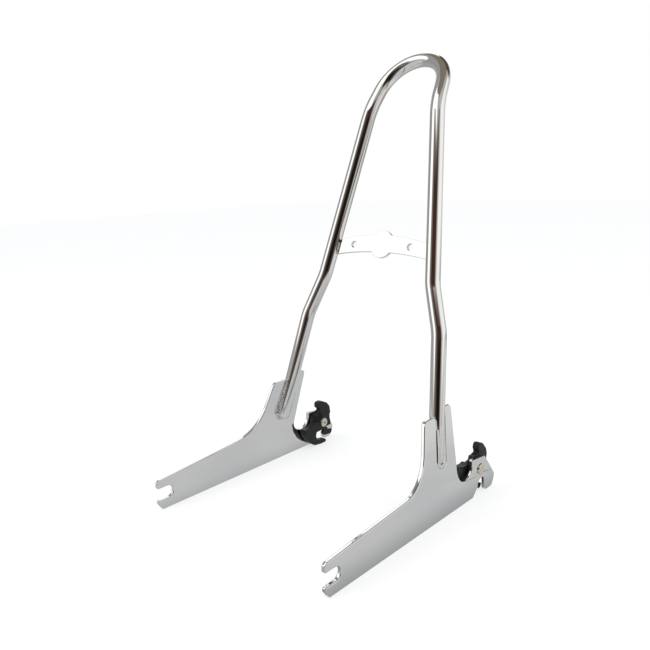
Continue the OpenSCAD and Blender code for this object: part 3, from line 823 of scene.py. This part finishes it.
# What bright metal reflects, in the order in which it is laid over the plain room: name,
# colour, then the compass angles from the front (-Y) towards +X, the heights above the
# horizon and the softness of the edges, all in degrees
ROOM = (0.52, 0.51, 0.50)
AISLE = (0.035, 0.022, 0.018)
PANELS = [
    ("far_wall", (0.78, 0.78, 0.77), -200, -150, -90, 16, 3),
    ("far_wall_right", (0.78, 0.78, 0.77), 150, 200, -90, 16, 3),
    ("side_wall", (0.38, 0.375, 0.37), -112, -60, -90, 58, 2),
    ("backdrop", (1.30, 1.30, 1.29), -156, -112, 12, 55, 2),
    ("right_wall", (0.65, 0.64, 0.62), 74, 92, -90, 60, 2),
    ("right_screen", (1.15, 1.16, 1.14), 92, 150, 4, 36, 3),
    ("right_screen_foot", (0.82, 0.83, 0.81), 92, 150, -90, 4, 2),
    ("ceiling", (0.254, 0.21, 0.165), -400, 400, 57, 95, 2),
    ("rear_shade", (0.09, 0.075, 0.065), 144, 200, 24, 60, 3),
    ("rear_shade_left", (0.09, 0.075, 0.065), -200, -157, 24, 60, 3),
    ("left_screen", (1.40, 1.40, 1.38), -60, -22, 8, 62, 1.5),
    ("top_screen", (1.40, 1.40, 1.38), -60, 30, 40, 63, 1.5),
    ("aisle_fringe", (0.23, 0.18, 0.155), -16, 76, -90, 40, 2),
    ("aisle", (0.06, 0.032, 0.025), 5, 66, -90, 38, 2.5),
    ("aisle_depth", (0.010, 0.010, 0.010), 25, 62, -90, 20, 2)]

# The table as the metal sees it. Its two tones, with the patches' scale and the fade between
# them
TABLE_IN_METAL = (0.675, 0.68, 0.67)
TABLE_IN_METAL_COOL = (0.63, 0.645, 0.66)
PATCH_SCALE = 7.0
PATCH_FADE = (0.62, 0.38)
# Strips of painted shade on the table, as the metal sees it, beside the plates, in metres: on
# which side of a plate's face they lie, the face's X, the strip's width (negative for one towards
# the middle) and the colour of its painted shade. Each fades from a share of its width before the
# face to its full width behind it
STRIP_LEAD = 0.6
PAINTED_SHADE_STRIPS = [
    ("GREATER_THAN", -0.1185, 0.030, (0.50, 0.50, 0.53)),
    ("GREATER_THAN", 0.1215, 0.034, (0.30, 0.31, 0.32)),
    ("LESS_THAN", 0.1185, -0.070, (0.03, 0.03, 0.03))]
# The dark far end, and the right end brightened by a painted pool of light, as the viewer stands,
# with their fades in metres from the table's middle, and the edge on the viewer's side
TOWARDS_VIEWER = (0.69, -0.72, 0.0)
TO_THE_RIGHT = (0.69, 0.72, 0.0)
FAR_TABLE = (0.42, 0.41, 0.40)
FAR_FADE = (-0.30, -0.55)
PAINTED_LIGHT_TABLE = (0.84, 0.85, 0.82)
PAINTED_LIGHT_FADE = (0.30, 0.75)
TABLE_EDGE, EDGE_SOFT = 0.95, 0.12
# Its paint and grain, its own glow, and the share of the glow for the camera and the metal
TABLE_PAINT = (0.85, 0.87)
GRAIN_SCALE = 40
TABLE_GLOW = 1.27
TABLE_GLOW_PART = 0.55
METAL_GLOW_PART = 0.9
TABLE_HALF = 6.0

# The room's soft light on the surfaces
PLAIN_LIGHT = (0.95, 0.97, 1.0)
PLAIN_STRENGTH = 0.75


class Wiring:
    """Short ways to wire the nodes of the table's material and of the world."""

    def __init__(self, tree):
        self.nodes, self.links = tree.nodes, tree.links
        self.nodes.clear()

    def put(self, value, socket):
        """Links an output to the socket, or gives the socket a number or a colour."""
        if isinstance(value, bpy.types.NodeSocket):
            self.links.new(value, socket)
        elif isinstance(value, tuple):
            socket.default_value = (*value, 1.0)
        else:
            socket.default_value = value

    def math(self, operation, *values):
        node = self.nodes.new("ShaderNodeMath")
        node.operation = operation
        for value, socket in zip(values, node.inputs):
            self.put(value, socket)
        return node.outputs["Value"]

    def noise(self, spot, scale, detail=2.0):
        node = self.nodes.new("ShaderNodeTexNoise")
        node.inputs["Scale"].default_value = scale
        node.inputs["Detail"].default_value = detail
        self.links.new(spot, node.inputs["Vector"])
        return node.outputs["Fac"]

    def along(self, spot, direction):
        """How far a spot lies along a direction."""
        node = self.nodes.new("ShaderNodeVectorMath")
        node.operation = "DOT_PRODUCT"
        node.inputs[1].default_value = direction
        self.links.new(spot, node.inputs[0])
        return node.outputs["Value"]

    def fade(self, value, start, end):
        """Rises smoothly from 0 at the start to 1 at the end."""
        node = self.nodes.new("ShaderNodeMapRange")
        node.interpolation_type = "SMOOTHSTEP"
        node.inputs["From Min"].default_value = start
        node.inputs["From Max"].default_value = end
        self.links.new(value, node.inputs["Value"])
        return node.outputs["Result"]

    def mixed(self, share, first, second):
        """The first colour where the share is 0, the second where it is 1."""
        node = self.nodes.new("ShaderNodeMix")
        node.data_type = "RGBA"
        for number, value in ((0, share), (6, first), (7, second)):
            self.put(value, node.inputs[number])
        return node.outputs[2]

    def background(self, colour, strength=1.0):
        node = self.nodes.new("ShaderNodeBackground")
        self.put(colour, node.inputs["Color"])
        node.inputs["Strength"].default_value = strength
        return node.outputs["Background"]

    def either(self, share, first, second):
        """The first shader where the share is 0, the second where it is 1."""
        node = self.nodes.new("ShaderNodeMixShader")
        for value, socket in zip((share, first, second), node.inputs):
            self.links.new(value, socket)
        return node.outputs["Shader"]


def table_in_metal(wiring, spot):
    """The table's colour in bright metal: pale with cooler patches, with painted shade beside the
    plates, a painted pool of light to the right, darker at the far end, and dark beyond
    the edge on the viewer's side."""
    patches = wiring.noise(spot, PATCH_SCALE, 1.0)
    table = wiring.mixed(wiring.fade(patches, *PATCH_FADE), TABLE_IN_METAL, TABLE_IN_METAL_COOL)
    axes = wiring.nodes.new("ShaderNodeSeparateXYZ")
    wiring.links.new(spot, axes.inputs["Vector"])
    across = axes.outputs["X"]
    # Painted shade: darker strips on the table beside the plates, seen only in the metal
    for test, face, width, shade_tone in PAINTED_SHADE_STRIPS:
        outside = wiring.math(test, across, face)
        near = wiring.fade(across, face + width, face - width * STRIP_LEAD)
        table = wiring.mixed(wiring.math("MULTIPLY", outside, near), table, shade_tone)
    # Painted light: a brighter pool on the table to the right, seen only in the metal
    rightwards = wiring.along(spot, TO_THE_RIGHT)
    table = wiring.mixed(wiring.fade(rightwards, *PAINTED_LIGHT_FADE), table, PAINTED_LIGHT_TABLE)
    towards = wiring.along(spot, TOWARDS_VIEWER)
    table = wiring.mixed(wiring.fade(towards, *FAR_FADE), table, FAR_TABLE)
    edge = wiring.fade(towards, TABLE_EDGE - EDGE_SOFT, TABLE_EDGE + EDGE_SOFT)
    return wiring.mixed(edge, table, AISLE)


def white_table():
    """White to the camera, with the shadow of the bar, and pale grey to bright metal."""
    material = bpy.data.materials.new("white_table")
    material.use_nodes = True
    wiring = Wiring(material.node_tree)
    path = wiring.nodes.new("ShaderNodeLightPath")
    spot = wiring.nodes.new("ShaderNodeTexCoord").outputs["Object"]
    paint = wiring.nodes.new("ShaderNodeMapRange")
    paint.inputs["To Min"].default_value, paint.inputs["To Max"].default_value = TABLE_PAINT
    wiring.links.new(wiring.noise(spot, GRAIN_SCALE), paint.inputs["Value"])
    lit = wiring.nodes.new("ShaderNodeBsdfDiffuse")
    wiring.links.new(paint.outputs["Result"], lit.inputs["Color"])
    to_camera, to_metal = path.outputs["Is Camera Ray"], path.outputs["Is Glossy Ray"]
    glow = wiring.nodes.new("ShaderNodeEmission")
    colour = wiring.mixed(to_camera, table_in_metal(wiring, spot), (TABLE_GLOW,) * 3)
    wiring.links.new(colour, glow.inputs["Color"])
    share = wiring.math("MULTIPLY", to_camera, TABLE_GLOW_PART)
    share = wiring.math("MULTIPLY_ADD", to_metal, METAL_GLOW_PART, share)
    out = wiring.nodes.new("ShaderNodeOutputMaterial")
    shader = wiring.either(share, lit.outputs["BSDF"], glow.outputs["Emission"])
    wiring.links.new(shader, out.inputs["Surface"])
    return material


def floor():
    """The table top."""
    mesh = bpy.data.meshes.new("table_top")
    half = TABLE_HALF
    mesh.from_pydata([(-half, -half, 0), (half, -half, 0), (half, half, 0), (-half, half, 0)],
                     [], [(0, 1, 2, 3)])
    obj = new_object("table_top", mesh, white_table())
    return obj


def surroundings():
    """World: white to the camera, plain soft light for the surfaces, screens for the chrome."""
    world = bpy.data.worlds.new("studio")
    bpy.context.scene.world = world
    world.use_nodes = True
    wiring = Wiring(world.node_tree)

    def between(value, low, high, soft):
        """1 from low to high and 0 outside, with soft edges."""
        return wiring.math("MULTIPLY", wiring.fade(value, low - soft, low + soft),
                           wiring.fade(value, high + soft, high - soft))

    coords = wiring.nodes.new("ShaderNodeTexCoord")
    split = wiring.nodes.new("ShaderNodeSeparateXYZ")
    wiring.links.new(coords.outputs["Generated"], split.inputs["Vector"])
    x, y, z = split.outputs
    around = wiring.math("DEGREES", wiring.math("ARCTAN2", x, wiring.math("MULTIPLY", y, -1.0)))
    above = wiring.math("DEGREES", wiring.math("ARCSINE", z))
    room = ROOM
    for name, colour, left, right, low, high, soft in PANELS:
        panel = wiring.math("MULTIPLY", between(around, left, right, soft),
                            between(above, low, high, soft))
        room = wiring.mixed(panel, room, colour)
        room.node.label = name

    path = wiring.nodes.new("ShaderNodeLightPath")
    plain = wiring.background(PLAIN_LIGHT, PLAIN_STRENGTH)
    light = wiring.either(path.outputs["Is Glossy Ray"], plain, wiring.background(room))
    white = wiring.background((1.0, 1.0, 1.0))
    seen = wiring.either(path.outputs["Is Camera Ray"], light, white)
    out = wiring.nodes.new("ShaderNodeOutputWorld")
    wiring.links.new(seen, out.inputs["Surface"])


def soft_lamp(name, where, size, power):
    lamp = bpy.data.lights.new(name, "AREA")
    lamp.shape = "SQUARE"
    lamp.size = size
    lamp.energy = power
    obj = bpy.data.objects.new(name, lamp)
    bpy.context.scene.collection.objects.link(obj)
    obj.location = where
    obj.rotation_euler = (Vector((0, 0, 0.15)) - Vector(where)).to_track_quat("-Z", "Y").to_euler()
    obj.visible_glossy = False
    return obj


# Camera: the angles of its place about the bar and above the table, its roll, and its lens
CAMERA_ANGLES = (43.5277, 12.5506, -2.3491)
CAMERA_AT = (0.4647545, -0.5094378, 0.3392947)
CAMERA_LENS = 37.367


def camera():
    """Standing in front on the right, a little above the crossbar."""
    az, el, roll = (math.radians(v) for v in CAMERA_ANGLES)
    back = Vector((math.sin(az) * math.cos(el), -math.cos(az) * math.cos(el), math.sin(el)))
    right = Vector((math.cos(az), math.sin(az), 0))
    up = back.cross(right)
    right, up = (math.cos(roll) * right + math.sin(roll) * up,
                 -math.sin(roll) * right + math.cos(roll) * up)
    data = bpy.data.cameras.new("camera")
    data.lens = CAMERA_LENS
    data.sensor_width = 36.0
    data.clip_start = 0.01
    data.clip_end = 50.0
    obj = bpy.data.objects.new("camera", data)
    bpy.context.scene.collection.objects.link(obj)
    turn = Matrix((right, up, back)).transposed().to_4x4()
    obj.matrix_world = Matrix.Translation(CAMERA_AT) @ turn
    bpy.context.scene.camera = obj
    return obj


def build():
    camera()
    surroundings()
    floor()
    soft_lamp("key", (-0.9, -1.2, 1.6), size=1.2, power=9.0)
    soft_lamp("fill", (1.6, 0.2, 1.3), size=1.4, power=6.0)
    sweep = bent_tube_tree()
    tube_hoop(sweep, tube_chrome())
    plate_finish = plate_chrome()
    ripples = weld_bead_tree()
    rough, smooth = rough_weld(), smooth_weld()
    plastic, plated, steel = latch_plastic(), nickel(), plain_steel()
    crossbar(bar_chrome())
    for name, hand in (("left", -1), ("right", 1)):
        side_plate(name, hand, plate_finish)
        inner_weld(name, hand, ripples, rough)
        crossbar_weld(name, hand, ripples, rough)
        latch(name, plastic)
        rivet(name, hand, plated)
        outer_weld(name, hand, sweep, smooth)
        dressed("sleeve_" + name, steel)
        dressed("washer_" + name, steel)
    bpy.context.scene.view_settings.view_transform = "Standard"


build()
